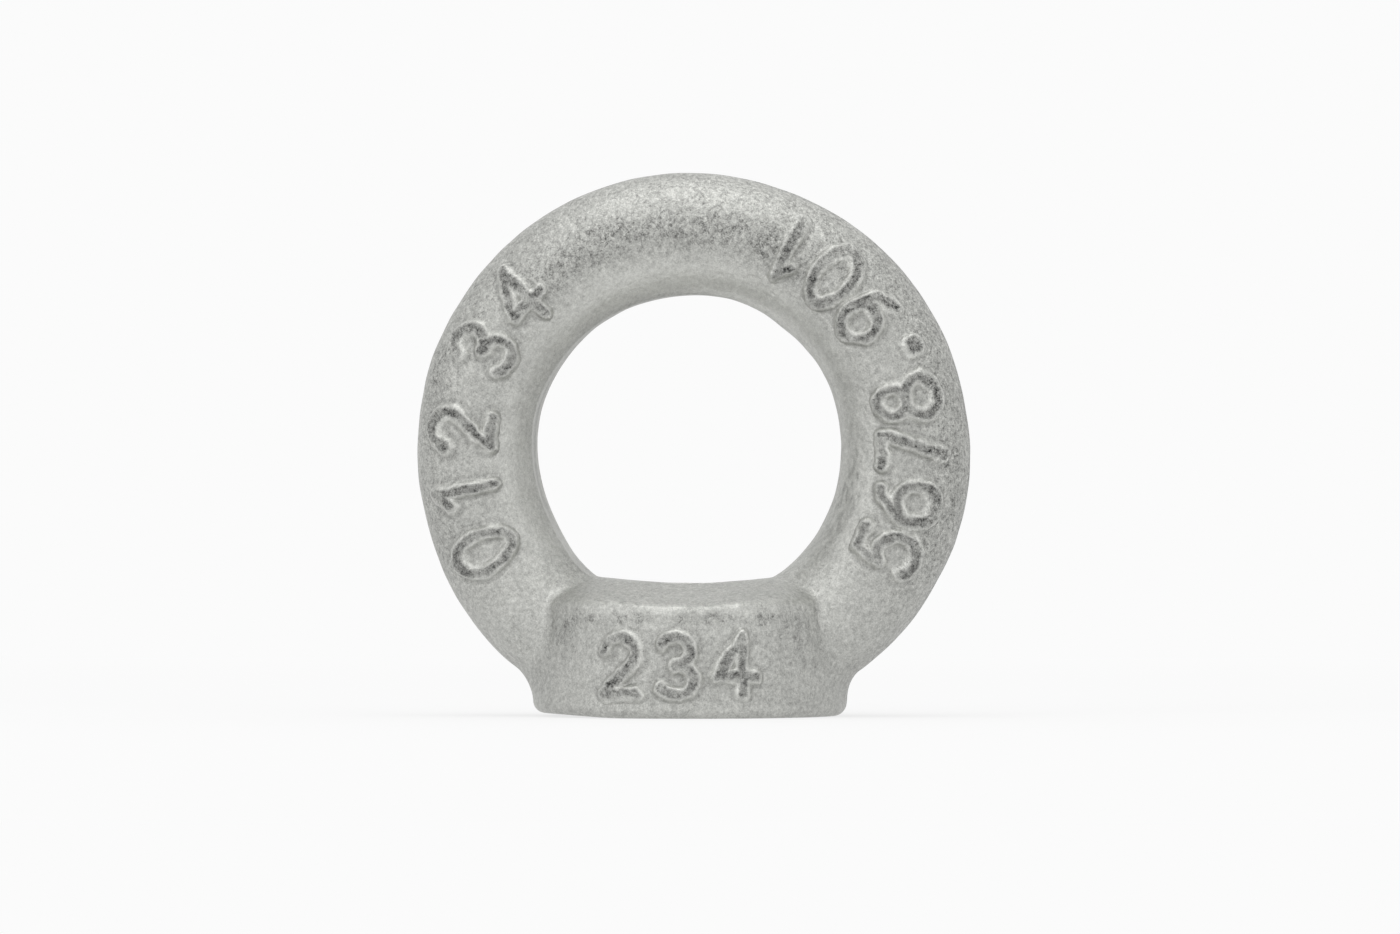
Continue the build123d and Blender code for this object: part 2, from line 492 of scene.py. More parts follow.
def rub_and_painted_light_of(x, y, z, s):
    """Where the zinc is made brighter, by painted light and painted highlights and in part by zinc
    rubbed bright in handling, as the greatest of nine places: a painted highlight along the
    collar's upper rim in broken stretches, where handling has also rubbed it, painted light on
    its foot, on the ring's inside beside the eye and on both legs, a painted highlight on the
    crown's outside, and painted light on the front's left part, the collar's top, the brow under
    its rim, and the heel where the right leg leaves it. Each is a product of bell curves and steps."""
    out, turn = on_ring(x, z, s)
    turn = np.abs(turn)
    across = x - s.collar_shift
    from_axis = np.hypot(across, y)
    side = from_axis - (s.collar_radius - z * math.tan(s.collar_draft))
    depth = np.sqrt(np.maximum(s.collar_radius**2 - across**2, 0))
    broken = step(-0.7, 0.8, waves(x, y, z, 1.2, 6, 18, 31))
    # Painted highlight along the collar's upper rim, in broken stretches, where it is also rubbed
    rim = hill(side + 0.35, 0.6) * step(0.2, 3, depth) * (0.32 + 0.80 * broken)
    rim = rim * step(9.75, 10.2, z) * (1 - step(12.0, 13.0, z))
    # Painted light on the base's edge, which lifts the shade there
    foot = 0.55 * hill(side, 1.0) * (1 - step(0.5, 1.6, z))
    # Painted light on the ring's inside beside the eye, strongest near the crown
    gap = np.hypot(x - s.eye_shift[0], z - s.ring_height - s.eye_shift[1]) - s.eye_radius
    beside_eye = (1 - step(1.5, 5.5, gap)) * step(14.5, 17, z) * step(0.0, 0.8, gap)
    beside_eye = beside_eye * (0.6 + 1.3 * step(105, 160, turn))
    # Painted light on both legs
    legs = np.where(x > 0, 0.65, 0.85) * hill(turn - 41, 17) * step(3.0, 6.0, z)
    legs = legs * step(1.5, 4.0, np.abs(y)) * step(1.3, 3.3, gap) * step(0.0, 0.8, side)
    # Painted highlight on the crown's outside
    crown = 0.6 * hill(out - 24.6, 1.5) * step(132, 170, turn)
    # Painted light on the front's left part, the collar's top, the brow under the rim and the right leg's
    # heel
    front = 0.32 * step(2, 8, -x) * step(8, 10.5, -y) * (1 - step(8.5, 9.5, z))
    above = 0.16 * step(10.3, 11.2, z) * (1 - step(13.3, 14.2, z)) * (1 - step(13.5, 15.0, from_axis))
    brow = 0.28 * hill(z - 8.8, 0.8) * step(8, 11, -y)
    heel = 0.6 * hill(turn - 42, 9) * step(6, 9, z) * (x > 0)
    return np.max([rim, foot, beside_eye, legs, crown, front, above, brow, heel], axis=0)


def seam_and_painted_shade_of(x, y, z, s):
    """The sheared band that trimming leaves all round the outside in the parting plane, which the
    finish darkens as painted shade along the outline. Its width wanders, and it ends above the base."""
    width = 0.75 + 0.2 * waves(x, y, z, 4, 12, 10, 41)
    outside = step(23.5, 25.5, np.maximum(on_ring(x, z, s)[0], np.abs(x) * 1.75))
    return (1 - step(width, width + 0.35, np.abs(y))) * outside * step(0.6, 1.2, z)


# Numbers on each vertex that the forged finish reads
# seam is the trimmed band, darkened by the finish as painted shade along the outline
SKIN_VALUES = {"wear": wear_of, "foot": soil_of, "rub": rub_and_painted_light_of, "seam": seam_and_painted_shade_of, "coarse": coarse_of}

# Heights along one pitch, of the thread's points and of its profile's corners
THREAD_KNOTS = np.array([0, 0.02, 0.125, 0.23, 0.25, 0.32, 0.45, 0.5625, 0.6, 0.6875, 0.72, 0.8, 0.9, 0.98])
THREAD_CORNERS = [0, 0.25, 0.5625, 0.6875, 1.0]
THREAD_AROUND = 120
FLARE = 3.2                # the upper countersink goes on this far past the bore


def thread_cutter(s):
    """The hole as one solid. Round the thread the surface is a helix: at angle a and step w along
    the profile its height is w + pitch a / 2 pi, and its radius is the tapped profile's, flat at
    the minor and at the nominal radius with 60 degree flanks between. A countersink's cone wins
    wherever it is wider."""
    per_turn, around = len(THREAD_KNOTS), THREAD_AROUND
    low, high = -1.2 * s.pitch, s.floor_height + 2.25
    steps = int(math.ceil((high - low) / s.pitch * per_turn))
    w = low + s.pitch * (np.arange(steps) // per_turn + THREAD_KNOTS[np.arange(steps) % per_turn])
    minor, nominal = s.bore_radius, s.nominal_radius
    phase = ((w - low) / s.pitch) % 1.0
    profile = np.interp(phase, THREAD_CORNERS, [minor, minor, nominal, nominal, minor])
    angles = 2 * math.pi * np.arange(around)[:, None] / around
    height = w[None] + s.pitch * angles / (2 * math.pi)
    lower = s.mouth_radius - height
    upper = np.minimum(height - s.floor_height + s.mouth_radius, minor + FLARE)
    radius = np.where((height > 0.2) & (height < s.floor_height), profile[None], minor)
    radius = np.maximum(radius, np.maximum(lower, upper))
    points = np.stack([radius * np.cos(angles), radius * np.sin(angles), height]).reshape(3, -1)

    index = np.arange(around * steps).reshape(around, steps)
    # Across the seam the last column, one pitch lower, meets the first
    last, first = index[-1, : steps - per_turn], index[0, per_turn:]
    seam = np.stack([last[:-1], first[:-1], first[1:], last[1:]], axis=-1)
    lower_loop = [*index[:, 0], *index[0, per_turn:0:-1]]
    upper_loop = [*index[:, -1], *index[-1, steps - 2 : steps - 2 - per_turn : -1]]
    middles = np.array([[0, 0], [0, 0], [height[:, 0].mean() - 0.5, height[:, -1].mean() + 0.3]])
    under, over = points.shape[1], points.shape[1] + 1
    caps = [[under, b, a] for a, b in zip(lower_loop, lower_loop[1:] + lower_loop[:1])]
    caps += [[over, a, b] for a, b in zip(upper_loop, upper_loop[1:] + upper_loop[:1])]
    return np.concatenate([points, middles], axis=1), [*open_grid(index), *seam, *caps]


# ----------------------------------------
# Raised figures


def arc(cx, cy, rx, ry, start, end):
    """Points of an elliptical arc, in degrees."""
    a = np.radians(np.linspace(start, end, 25))
    return np.stack([cx + rx * np.cos(a), cy + ry * np.sin(a)], axis=1)


# Strokes of each figure in a cell 4 wide and 6 high, drawn as plain block lettering
STROKES = {
    "0": [arc(2, 3, 1.9, 3, 0, 360)],
    "1": [[(0.9, 4.7), (2.3, 6), (2.3, 0)]],
    "2": [[*arc(2, 4.3, 1.8, 1.7, 170, -38), (0.2, 0), (3.9, 0)]],
    "3": [[*arc(1.9, 4.5, 1.6, 1.5, 150, -90), *arc(1.9, 1.55, 1.9, 1.55, 80, -150)]],
    "4": [[(2.8, 0), (2.8, 6), (0.1, 1.9), (4.2, 1.9)]],
    "5": [[(3.6, 6), (0.7, 6), (0.5, 3.3), *arc(1.9, 1.95, 1.9, 1.95, 115, -145)]],
    "6": [arc(2, 1.9, 1.9, 1.9, 0, 360), arc(4.6, 2.1, 4.5, 3.9, 180, 112)],
    "7": [[(0.1, 6), (3.9, 6), (1.6, 0)]],
    "8": [arc(2, 4.5, 1.5, 1.5, 0, 360), arc(2, 1.55, 1.9, 1.55, 0, 360)],
    "9": [arc(2, 4.1, 1.9, 1.9, 0, 360), arc(-0.6, 3.9, 4.5, 3.9, 0, -68)],
    ".": [[(1.7, 0.3), (2.3, 0.3), (2.3, 0.9), (1.7, 0.9), (1.7, 0.3)]],
}
FIGURE_SCALE = 0.92        # mm for one unit of the cell
ADVANCE = {" ": 0.36, ".": 0.8}   # shares of the pitch that narrow signs take
ROW_MARGIN = 1.0           # a piece reaches this far past its row's ends
BED_HALF_HEIGHT = 4.15
BED_FADE = (0.5, 0.95)     # from a piece's border inwards, where its bed begins
COLLAR_ROW_HEIGHT = 5.1
PATCH_SPACING = 0.105


def row_centres(text, pitch):
    """Middle of each figure along its row, with the row centred on 0, and the row's length."""
    widths = np.array([ADVANCE.get(c, 1.0) * pitch for c in text])
    ends = np.cumsum(widths)
    return ends - widths / 2 - ends[-1] / 2, ends[-1]


def half_length(row):
    """Half of a row's piece along the row."""
    return row_centres(row["text"], row["pitch"])[1] / 2 + ROW_MARGIN


def stroke_distance(p, q, text, pitch):
    """Distance in mm from each point of a row's plane to the nearest stroke's middle line."""
    nearest = np.full(p.shape, 9.0)
    for centre, figure in zip(row_centres(text, pitch)[0], text):
        here = np.abs(p - centre) < 4.0
        px, qx = p[here] - centre, q[here]
        best = nearest[here]
        for stroke in STROKES.get(figure, []):
            line = (np.array(stroke, float) - (2, 3)) * FIGURE_SCALE
            for (ax, ay), (bx, by) in zip(line, line[1:]):
                dx, dy = bx - ax, by - ay
                t = np.clip(((px - ax) * dx + (qx - ay) * dy) / max(dx * dx + dy * dy, 1e-9), 0, 1)
                best = np.minimum(best, np.hypot(px - ax - t * dx, qx - ay - t * dy))
        nearest[here] = best
    return nearest


def rows_of(f):
    """The three rows. On the ring a row's middle turn, its sense (1 runs towards the crown with
    its tops to the eye, -1 runs the other way with its tops outwards) and its pitch are given.
    On the collar the sense is 0 and the middle is a length."""
    return [
        dict(name="ring_figures_left", text=f.left, middle=-97.5, sense=-1, pitch=6.05, radius=22.1),
        dict(name="ring_figures_right", text=f.right, middle=108.0, sense=1, pitch=5.0, radius=21.8),
        dict(name="collar_figures", text=f.collar, middle=-0.3, sense=0, pitch=5.65, radius=15.2),
    ]


def figure_bed(x, y, z, s):
    """1 under the figures' pieces, on the front, and 0 near their borders and elsewhere."""
    out, turn = on_ring(x, z, s)
    bed = np.zeros_like(x)
    for row in s.rows:
        if row["sense"]:
            along = np.radians(np.abs(turn - row["middle"])) * row["radius"]
            across = np.abs(out - row["radius"])
        else:
            along = np.abs(np.arctan2(x, -y) * row["radius"] - row["middle"])
            across = np.abs(z - COLLAR_ROW_HEIGHT)
        inside = step(*BED_FADE, half_length(row) - along) * step(*BED_FADE, BED_HALF_HEIGHT - across)
        bed = np.maximum(bed, inside * step(2.0, 2.6, -y))
    return bed


def row_patch(row, s):
    """The forging's own skin round a row, over a grid of lengths along (p) and across (q) it,
    its outward normals, and whether the grid's own order gives those. On the ring the rays run
    forwards from the parting plane, on the collar outwards from the thread's axis."""
    halves = half_length(row), BED_HALF_HEIGHT
    lines = [np.linspace(-half, half, int(2 * half / PATCH_SPACING) + 1) for half in halves]
    p, q = np.meshgrid(*lines, indexing="ij")
    flat = np.zeros_like(p)
    if row["sense"]:
        turn = np.radians(row["middle"]) + row["sense"] * p / row["radius"]
        out = row["radius"] - row["sense"] * q
        origin = np.stack([out * np.sin(turn), flat, s.ring_height - out * np.cos(turn)])
        direction = np.stack([flat, flat - 1, flat])
        far = 9
    else:
        bearing = (row["middle"] + p) / row["radius"]
        origin = np.stack([flat, flat, COLLAR_ROW_HEIGHT + q])
        direction = np.stack([np.sin(bearing), -np.cos(bearing), flat])
        far = 18
    skin = origin + direction * reach_of(origin, direction, s, far)
    normal = unit(np.cross(np.gradient(skin, axis=1), np.gradient(skin, axis=2), axis=0))
    outwards = np.sum(normal * direction, axis=0) > 0
    return p, q, skin, normal * np.where(outwards, 1, -1), outwards[1, 1]


def closed_patch(rows, columns, outwards):
    """Faces of a solid between two layers of one grid, with a skirt round them."""
    index = np.arange(rows * columns).reshape(rows, columns)
    quads = open_grid(index)
    border = np.concatenate([index[:, 0], index[-1, 1:], index[-2::-1, -1], index[0, -2:0:-1]])
    ahead = np.roll(border, -1)
    under = rows * columns
    skirt = np.stack([border, border + under, ahead + under, ahead], axis=1)
    faces = np.concatenate([quads, quads[:, ::-1] + under, skirt])
    return faces if outwards else faces[:, ::-1]


def figure_piece(row, s):
    """One row of figures on the patch of skin round it. Each point moves out along the normal by
    the relief: full on a stroke, a soft flank beside it, a faint channel round its foot, and
    below the skin at the border. Waves let the strokes wander, and wear their tops. A second
    layer under it closes the solid. The tops are worn and soiled in patches, the flanks carry a
    painted highlight, and a thin line of painted shade, partly dirt, lies round the foot."""
    p, q, skin, normal, outwards = row_patch(row, s)
    flat = np.zeros_like(p)
    wobble = 0.09 * waves(p, q, flat, 1.2, 4.5, 14, 21)
    beside = stroke_distance(p + wobble, q - wobble, row["text"], row["pitch"]) - s.stroke / 2
    worn = 1 + 0.16 * waves(p, q, flat, 1.5, 5, 12, 22) + 0.07 * waves(p, q, flat, 0.35, 0.8, 20, 23)
    relief = s.relief * np.clip(worn, 0.5, 1.3) * (1 - step(-0.28, 0.26, beside))
    channel = 0.06 * hill(beside - 0.42, 0.2)
    shown = step(0.0, 0.4, np.minimum(half_length(row) - np.abs(p), BED_HALF_HEIGHT - np.abs(q)))
    lift = (0.012 + relief - channel) * shown - 0.15 * (1 - shown)
    top = skin + normal * lift
    bottom = skin - normal * 0.6
    points = np.concatenate([top.reshape(3, -1), bottom.reshape(3, -1)], axis=1)
    piece = new_piece(row["name"], points, closed_patch(*p.shape, outwards))

    values = {name: value(*top, s) for name, value in SKIN_VALUES.items()}
    patch = step(-0.9, 0.5, waves(p, q, flat, 1.5, 6, 14, 24))
    worn_top = (1 - step(-0.42, -0.12, beside)) * (0.25 + 0.45 * patch)
    soiled = 0.45 + 0.5 * step(-0.9, 0.6, waves(p, q, flat, 0.9, 3.2, 16, 25))
    soiled = 1.05 * soiled * (1 - step(-0.50, -0.27, beside))
    # Painted shade: a thin dark line in the channel round each stroke's foot, partly dirt
    line = 0.38 * hill(beside - 0.36, 0.15) * (0.6 + 0.4 * patch)
    values["wear"] = np.maximum(values["wear"], worn_top)
    values["foot"] = np.max([values["foot"], soiled, line], axis=0)
    # Painted highlight on the strokes' flanks
    values["rub"] = np.maximum(values["rub"], 1.5 * hill(beside + 0.08, 0.15))
    values["seam"] = flat
    for name, value in values.items():
        give_values(piece.data, name, np.tile(value.ravel(), 2))
    return piece


def sizes_of(scene):
    """All sizes in mm and radians: the properties of the forging, its thread and its figures,
    and what follows from them."""
    s = SimpleNamespace(
        ring_height=RING_HEIGHT,
        bore_radius=BORE["dims"]["r_mm"],
        floor_half_line=5.0,
        floor_ease=3.0,
        end_weight=1.28,
        punch_edge=0.2,
        punch_corner=0.35,
        bed_depth=0.07,
        # The dies and the punch never quite meet on one axis
        collar_shift=-0.2,
        eye_shift=(-0.53, 0.1),
        floor_shift=-0.6,
    )
    for settings in (scene.eye_nut_forging, scene.eye_nut_thread, scene.eye_nut_figures):
        for name, kind in settings.bl_rna.properties.items():
            if kind.type == "FLOAT":
                value = getattr(settings, name)
                setattr(s, name, value / MM if kind.unit == "LENGTH" else value)
    flash_trim, crest_trim = 0.12, 0.1
    inner_radius = s.eye_radius - flash_trim
    s.ring_half_width = (RING_OUTER_RADIUS - inner_radius) / 2
    s.ring_centre_radius = (RING_OUTER_RADIUS + inner_radius) / 2
    s.ridge_height = s.floor_height + crest_trim
    s.rows = rows_of(scene.eye_nut_figures)
    return s


# ----------------------------------------
# Finishes


class Nodes:
    """Short calls for a node tree: add a node with its settings and inputs, and wire it."""

    def __init__(self, tree):
        self.tree = tree
        tree.nodes.clear()

    def add(self, kind, inputs=None, **settings):
        node = self.tree.nodes.new(kind)
        for key, value in settings.items():
            setattr(node, key, value)
        for key, value in (inputs or {}).items():
            if isinstance(value, bpy.types.NodeSocket):
                self.tree.links.new(value, node.inputs[key])
            else:
                node.inputs[key].default_value = value
        return node

    def math(self, operation, a, b=0.0, c=0.0, clamp=False):
        inputs = {0: a, 1: b, 2: c}
        return self.add("ShaderNodeMath", inputs, operation=operation, use_clamp=clamp).outputs[0]

    def plus(self, base, value, share):
        """base + share value"""
        return self.math("MULTIPLY_ADD", value, share, base)

    def sway(self, base, value, share):
        """base + share (value - 1/2), for a noise that runs from 0 to 1."""
        return self.plus(base, self.math("SUBTRACT", value, 0.5), share)

    def vector(self, operation, a, b=(0, 0, 0)):
        node = self.add("ShaderNodeVectorMath", {0: a, 1: b}, operation=operation)
        return node.outputs["Value" if operation == "LENGTH" else "Vector"]

    def ramp(self, value, low, high, to_low=0.0, to_high=1.0):
        """value from low..high to to_low..to_high along a smooth step."""
        return self.add(
            "ShaderNodeMapRange",
            {"Value": value, "From Min": low, "From Max": high, "To Min": to_low, "To Max": to_high},
            interpolation_type="SMOOTHSTEP",
        ).outputs["Result"]

    def noise(self, vector, size_mm, detail=2.0, roughness=0.5, distortion=0.0):
        """Noise whose features are about size_mm across."""
        inputs = {"Vector": vector, "Scale": 1 / (size_mm * MM)}
        inputs.update({"Detail": detail, "Roughness": roughness, "Distortion": distortion})
        return self.add("ShaderNodeTexNoise", inputs).outputs["Fac"]

    def attribute(self, name):
        return self.add("ShaderNodeAttribute", attribute_name=name).outputs["Fac"]

    def object_place(self):
        return self.add("ShaderNodeTexCoord").outputs["Object"]


def zinc_grain_group():
    """Zinc over steel: clouds, mottle and grain in the tone, dark specks where it is worn, and
    the height of the grain in mm. Specks are the tips of a fine noise, in clusters, and thin
    lines where a broader noise passes its middle."""
    tree = bpy.data.node_groups.new("Zinc grain", "ShaderNodeTree")
    for label, kind in (("Vector", "Vector"), ("Wear", "Float"), ("Coarseness", "Float")):
        tree.interface.new_socket(label, in_out="INPUT", socket_type="NodeSocket" + kind)
    for label in ("Tone", "Specks", "Height"):
        tree.interface.new_socket(label, in_out="OUTPUT", socket_type="NodeSocketFloat")
    n = Nodes(tree)
    given = n.add("NodeGroupInput").outputs
    # Turned, so that the noise's own axes never lie along a face
    at = n.add("ShaderNodeMapping", {"Vector": given["Vector"], "Rotation": (0.61, 0.43, 0.87)}).outputs[0]
    cloud = n.noise(at, 9, 2, 0.5)
    mottle = n.noise(at, 1.57, 3, 0.6, 0.4)
    grain = n.noise(at, 0.42, 3, 0.62)
    fine = n.noise(at, 0.14, 2, 0.65)
    pits = n.ramp(n.noise(at, 0.75, 2, 0.55, 0.6), 0.62, 0.74)

    wrinkle = n.math("ABSOLUTE", n.math("SUBTRACT", n.noise(at, 0.83, 3, 0.62, 0.6), 0.5))
    here_and_there = n.ramp(n.noise(at, 0.9, 2), 0.40, 0.56)
    lines = n.math("MULTIPLY", n.ramp(wrinkle, 0.012, 0.06, 1.0, 0.0), here_and_there)
    crumbs = n.noise(at, 0.29, 3, 0.7, 0.5)
    level = n.ramp(given["Wear"], 0.3, 1.0, 0.23, 0.10)
    clusters = n.ramp(n.noise(at, 2.3, 3, 0.6, 0.8), 0.40, 0.60, 0.25, 1.0)
    dark = n.math("MULTIPLY", n.ramp(n.math("SUBTRACT", crumbs, level), 0.40, 0.58), clusters)
    dark = n.math("MULTIPLY", n.math("MAXIMUM", dark, lines), given["Wear"])
    sparse = n.ramp(n.noise(at, 3.5, 2, 0.5), 0.42, 0.66)
    scattered = n.math("MULTIPLY", n.ramp(crumbs, 0.66, 0.74), sparse)
    specks = n.math("MAXIMUM", dark, scattered, clamp=True)

    tone = n.sway(n.sway(1.0, cloud, 0.12), mottle, 0.30)
    tone = n.plus(tone, n.sway(n.sway(0.0, grain, 1.15), fine, 1.15), given["Coarseness"])
    tone = n.plus(tone, specks, -0.42)

    height = n.sway(n.sway(n.sway(0.0, mottle, 0.10), grain, 0.09), fine, 0.025)
    height = n.plus(n.plus(height, pits, -0.03), specks, -0.035)
    height = n.math("MULTIPLY", height, given["Coarseness"])
    n.add("NodeGroupOutput", {"Tone": tone, "Specks": specks, "Height": height})
    return tree


def new_metal(name):
    material = bpy.data.materials.new(name)
    material.use_nodes = True
    return material, Nodes(material.node_tree)


def finish_metal(n, color, tone, metallic, roughness, height):
    """A metal whose colour is multiplied by a tone, with bumps from a height in mm."""
    scaled = n.add("ShaderNodeVectorMath", {0: tuple(color), "Scale": tone}, operation="SCALE")
    bump = n.add("ShaderNodeBump", {"Strength": 1.0, "Distance": MM, "Height": height})
    inputs = {"Base Color": scaled.outputs[0], "Metallic": metallic, "Roughness": roughness}
    shader = n.add("ShaderNodeBsdfPrincipled", {**inputs, "Normal": bump.outputs[0]})
    n.add("ShaderNodeOutputMaterial", {"Surface": shader.outputs[0]})


def forged_zinc(colors, s, grain_tree):
    """Dull zinc over the forged skin: brighter with painted light and painted highlights, and where
    it is rubbed, darker where it is worn, with painted shade along the trimmed band round the
    outside, where dirt lies, with painted shade round the figures' feet, and dark in a wandering
    line of painted shade beside the eye, along the edge where the flash was punched out."""
    material, n = new_metal("zinc_forged")
    at = n.object_place()
    wear = n.attribute("wear")
    inputs = {"Vector": at, "Wear": wear, "Coarseness": n.attribute("coarse")}
    grain = n.add("ShaderNodeGroup", inputs, node_tree=grain_tree).outputs

    # Gap in mm between a point and the eye's edge
    eye_centre = (s.eye_shift[0] * MM, 0, (s.ring_height + s.eye_shift[1]) * MM)
    from_eye = n.vector("LENGTH", n.vector("MULTIPLY", n.vector("SUBTRACT", at, eye_centre), (1, 0, 1)))
    gap = n.math("SUBTRACT", n.math("DIVIDE", from_eye, MM), s.eye_radius)
    # Painted shade: a dark wandering line along the eye's punched edge, where its crease lies
    drift = n.sway(0.62, n.noise(at, 6, 2), 0.5)
    line = n.ramp(n.math("ABSOLUTE", n.math("SUBTRACT", gap, drift)), 0.02, 0.13, 0.16, 0.0)
    line = n.math("MULTIPLY", line, n.ramp(n.noise(at, 2.4, 2), 0.38, 0.6))

    dirt_and_painted_shade = n.math("MAXIMUM", line, n.attribute("foot"), clamp=True)
    rub = n.attribute("rub")
    # Darker with real dirt, with painted shade by the eye and round the figures' feet, and with painted
    # shade along the trimmed band
    tone = n.plus(n.plus(grain["Tone"], dirt_and_painted_shade, -0.44), n.attribute("seam"), -0.20)
    # Painted light and painted highlights, partly rubbed zinc, brighten the tone
    tone = n.plus(n.plus(tone, wear, -0.115), rub, 0.22)
    rough = n.plus(n.plus(colors.roughness, grain["Specks"], 0.15), rub, -0.08)
    finish_metal(n, colors.skin, tone, 0.75, rough, grain["Height"])
    return material


def cut_zinc(colors, grain_tree):
    """Brighter, finer zinc over the machined base, the countersinks and the thread, with the
    rings that the facing tool left round the bore: a sine of the distance from the axis."""
    material, n = new_metal("zinc_machined")
    at = n.object_place()
    inputs = {"Vector": at, "Wear": 0.0, "Coarseness": 0.35}
    grain = n.add("ShaderNodeGroup", inputs, node_tree=grain_tree).outputs
    radius = n.vector("LENGTH", n.vector("MULTIPLY", at, (1, 1, 0)))
    radius = n.plus(radius, n.noise(at, 5, 2), 0.25 * MM)
    feed = 0.28 * MM
    turns = n.math("SINE", n.math("MULTIPLY", radius, 2 * math.pi / feed))
    tone = n.plus(grain["Tone"], turns, 0.035)
    height = n.plus(grain["Height"], turns, 0.004)
    finish_metal(n, colors.cut, tone, 1.0, n.plus(0.38, grain["Specks"], 0.2), height)
    return material


def finish_named(name, context):
    """The two finishes, made once."""
    if name not in bpy.data.materials:
        tree = bpy.data.node_groups.get("Zinc grain") or zinc_grain_group()
        colors = context.scene.eye_nut_finish
        if name == "zinc_forged":
            forged_zinc(colors, sizes_of(context.scene), tree)
        else:
            cut_zinc(colors, tree)
    return bpy.data.materials[name]


# ----------------------------------------
# Operators

BASE_BAND = 0.4            # mm above the base: a face belongs to it below this,
FACING_DOWN = -0.97        # if its normal points down so far
SHARP_ANGLE = 32           # degrees between faces that meet in a hard edge


class EYENUT_OT_forging(bpy.types.Operator):
    """Forge the ring and collar as one skin, then tap the bore through it"""

    bl_idname = "eye_nut.forging"
    bl_label = "Forging and thread"

    def execute(self, context):
        s = sizes_of(context.scene)
        points = forging_grid(s)
        rows, columns = points.shape[1:]
        piece = new_piece("eye_nut_body", points.reshape(3, -1), closed_grid(rows, columns))
        cutter = new_piece("thread_cutter", *thread_cutter(s))
        forged, machined = (finish_named(name, context) for name in ("zinc_forged", "zinc_machined"))
        for solid, finishes in ((piece, (forged, machined)), (cutter, (machined,))):
            face_outwards(solid.data)
            for finish in finishes:
                solid.data.materials.append(finish)
        cut = piece.modifiers.new("Tap", "BOOLEAN")
        cut.object, cut.operation, cut.solver = cutter, "DIFFERENCE", "EXACT"
        cut.material_mode = "TRANSFER"
        context.view_layer.update()
        tapped = bpy.data.meshes.new_from_object(piece.evaluated_get(context.evaluated_depsgraph_get()))
        whole, piece.data = piece.data, tapped
        piece.modifiers.clear()
        bpy.data.meshes.remove(whole)
        bpy.data.objects.remove(cutter)
        mesh = piece.data
        mesh.name = piece.name
        if len(mesh.polygons) < rows * columns / 2:
            raise RuntimeError("the bore's cut failed")

        low = read(mesh.polygons, "center", 3)[:, 2] < BASE_BAND * MM
        base = low & (read(mesh.polygons, "normal", 3)[:, 2] < FACING_DOWN)
        material = read(mesh.polygons, "material_index", 1, np.int32).ravel()
        mesh.polygons.foreach_set("material_index", np.where(base, 1, material).astype(np.int32))
        mesh.shade_smooth()
        mesh.set_sharp_from_angle(angle=math.radians(SHARP_ANGLE))
        place = vertices_of(mesh)
        for name, value in SKIN_VALUES.items():
            give_values(mesh, name, value(*place, s))
        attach(piece, "root")
        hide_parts(NODE)
        return {"FINISHED"}


class EYENUT_OT_figures(bpy.types.Operator):
    """Raise the rows of plain figures on the ring's front and on the collar"""

    bl_idname = "eye_nut.figures"
    bl_label = "Raised figures"

    def execute(self, context):
        s = sizes_of(context.scene)
        for row in s.rows:
            piece = figure_piece(row, s)
            piece.data.materials.append(finish_named("zinc_forged", context))
            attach(piece, "root")
        return {"FINISHED"}


# Place, size and power of each soft lamp, in metres and watts
LAMPS = {
    "overhead": ((0, -0.05, 0.75), (0.55, 0.4), 1.3),
    "front_left": ((-0.7, -0.8, 0.45), (0.6, 0.6), 1.8),
    "front_right": ((0.75, -0.75, 0.35), (0.6, 0.6), 1.1),
}
LAMP_AIM = Vector((0, 0, 0.03))
FLOOR_REACH = 3.0
FLOOR_HEIGHT = -0.02 * MM  # clear of the base, which stands at 0
SENSOR_WIDTH = 36.0


def placed(name, data, place, ahead):
    """An object in the scene that stands at a place and looks ahead."""
    thing = bpy.data.objects.new(name, data)
    thing.location = place
    thing.rotation_euler = ahead.to_track_quat("-Z", "Y").to_euler()
    bpy.context.scene.collection.objects.link(thing)
    return thing


def soft_lamp(name, place, size, power):
    light = bpy.data.lights.new(name, "AREA")
    light.shape, light.energy = "RECTANGLE", power
    light.size, light.size_y = size
    return placed(name, light, place, LAMP_AIM - Vector(place))


def seen_rays(n):
    """1 for camera, glossy and transmission rays, and 0 for the others."""
    path = n.add("ShaderNodeLightPath").outputs
    seen = n.math("MAXIMUM", path["Is Camera Ray"], path["Is Glossy Ray"])
    return n.math("MAXIMUM", seen, path["Is Transmission Ray"])


def pale_floor():
    """A floor that glows, most where a ray sees it directly. Near the piece it also takes light
    and shadow."""
    material = bpy.data.materials.new("pale_floor")
    material.use_nodes = True
    n = Nodes(material.node_tree)
    seen = seen_rays(n)
    far_off = n.ramp(n.vector("LENGTH", n.object_place()), 0.06, 0.35)
    own = n.add("ShaderNodeBsdfDiffuse", {"Color": (0.24, 0.24, 0.24, 1)})
    near = n.add("ShaderNodeEmission", {"Strength": n.plus(0.43, seen, 0.275)})
    both = n.add("ShaderNodeAddShader", {0: own.outputs[0], 1: near.outputs[0]})
    far = n.add("ShaderNodeEmission", {"Strength": n.plus(0.6, seen, 0.365)})
    blend = n.add("ShaderNodeMixShader", {0: far_off, 1: both.outputs[0], 2: far.outputs[0]})
    n.add("ShaderNodeOutputMaterial", {"Surface": blend.outputs[0]})
    return material


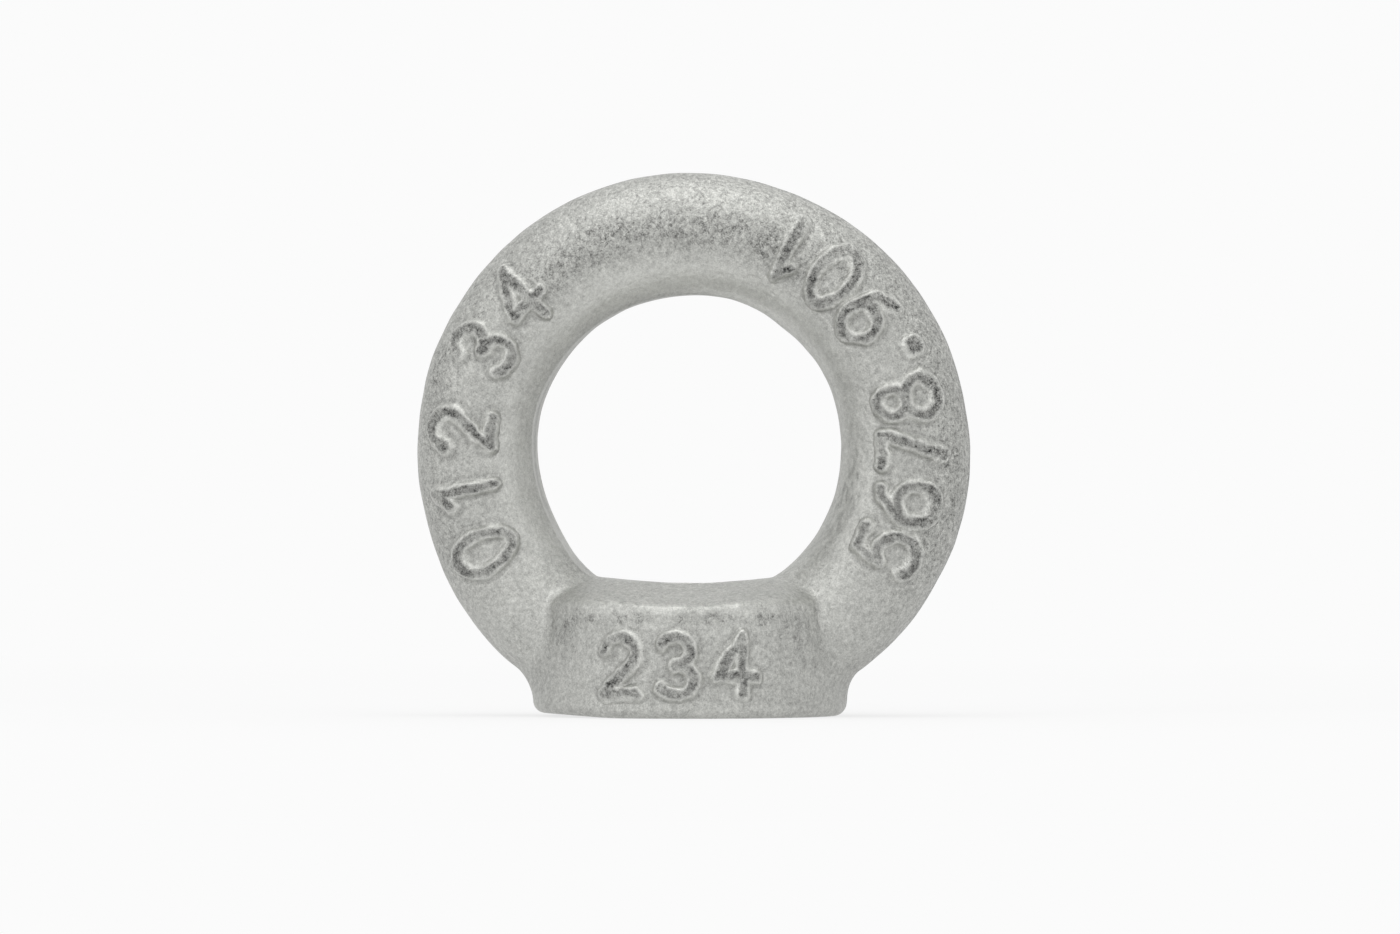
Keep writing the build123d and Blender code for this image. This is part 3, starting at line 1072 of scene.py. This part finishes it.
class EYENUT_OT_stage(bpy.types.Operator):
    """Set the pale floor, the soft lights and the camera"""

    bl_idname = "eye_nut.stage"
    bl_label = "Floor, lights and camera"

    def execute(self, context):
        scene = context.scene
        v = scene.eye_nut_stage
        mesh = bpy.data.meshes.new("floor")
        corners = [(-1, -1), (1, -1), (1, 1), (-1, 1)]
        corners = [(x * FLOOR_REACH, y * FLOOR_REACH, FLOOR_HEIGHT) for x, y in corners]
        mesh.from_pydata(corners, [], [(0, 1, 2, 3)])
        mesh.materials.append(pale_floor())
        floor = bpy.data.objects.new("floor", mesh)
        scene.collection.objects.link(floor)

        world = bpy.data.worlds.new("pale_room")
        world.use_nodes = True
        scene.world = world
        n = Nodes(world.node_tree)
        strength = n.plus(0.80, seen_rays(n), 0.165)
        sky = n.add("ShaderNodeBackground", {"Color": (1, 1, 1, 1), "Strength": strength})
        n.add("ShaderNodeOutputWorld", {"Surface": sky.outputs[0]})
        for name, settings in LAMPS.items():
            soft_lamp(name, *settings)

        data = bpy.data.cameras.new("camera")
        data.sensor_width, data.lens = SENSOR_WIDTH, v.lens
        data.clip_start, data.clip_end = 0.01, 20
        back = Vector((math.sin(v.azimuth), -math.cos(v.azimuth), 0))
        aim = Vector((v.aim_side, 0, v.aim_height))
        scene.camera = placed("camera", data, aim + back * v.distance, -back)
        scene.view_settings.view_transform = "Standard"
        return {"FINISHED"}


class EYENUT_PT_panel(bpy.types.Panel):
    """Buttons for each piece of the eye nut"""

    bl_idname = "EYENUT_PT_panel"
    bl_label = "Lifting eye nut"
    bl_space_type = "VIEW_3D"
    bl_region_type = "UI"
    bl_category = "Eye Nut"

    def draw(self, context):
        for group in GROUPS:
            box = self.layout.box()
            box.label(text=group.replace("_", " ").capitalize())
            settings = getattr(context.scene, group)
            for name in settings.bl_rna.properties.keys():
                if name not in ("rna_type", "name"):
                    box.prop(settings, name)
        for operator in STEPS:
            self.layout.operator(operator.bl_idname)


STEPS = (EYENUT_OT_forging, EYENUT_OT_figures, EYENUT_OT_stage)
CLASSES = (*GROUPS.values(), *STEPS, EYENUT_PT_panel)


def register():
    for entry in CLASSES:
        bpy.utils.register_class(entry)
    for name, group in GROUPS.items():
        setattr(bpy.types.Scene, name, bpy.props.PointerProperty(type=group))


def unregister():
    for name in GROUPS:
        delattr(bpy.types.Scene, name)
    for entry in reversed(CLASSES):
        bpy.utils.unregister_class(entry)


def main():
    register()
    bpy.ops.eye_nut.forging()
    bpy.ops.eye_nut.figures()
    bpy.ops.eye_nut.stage()


if __name__ == "__main__":
    main()
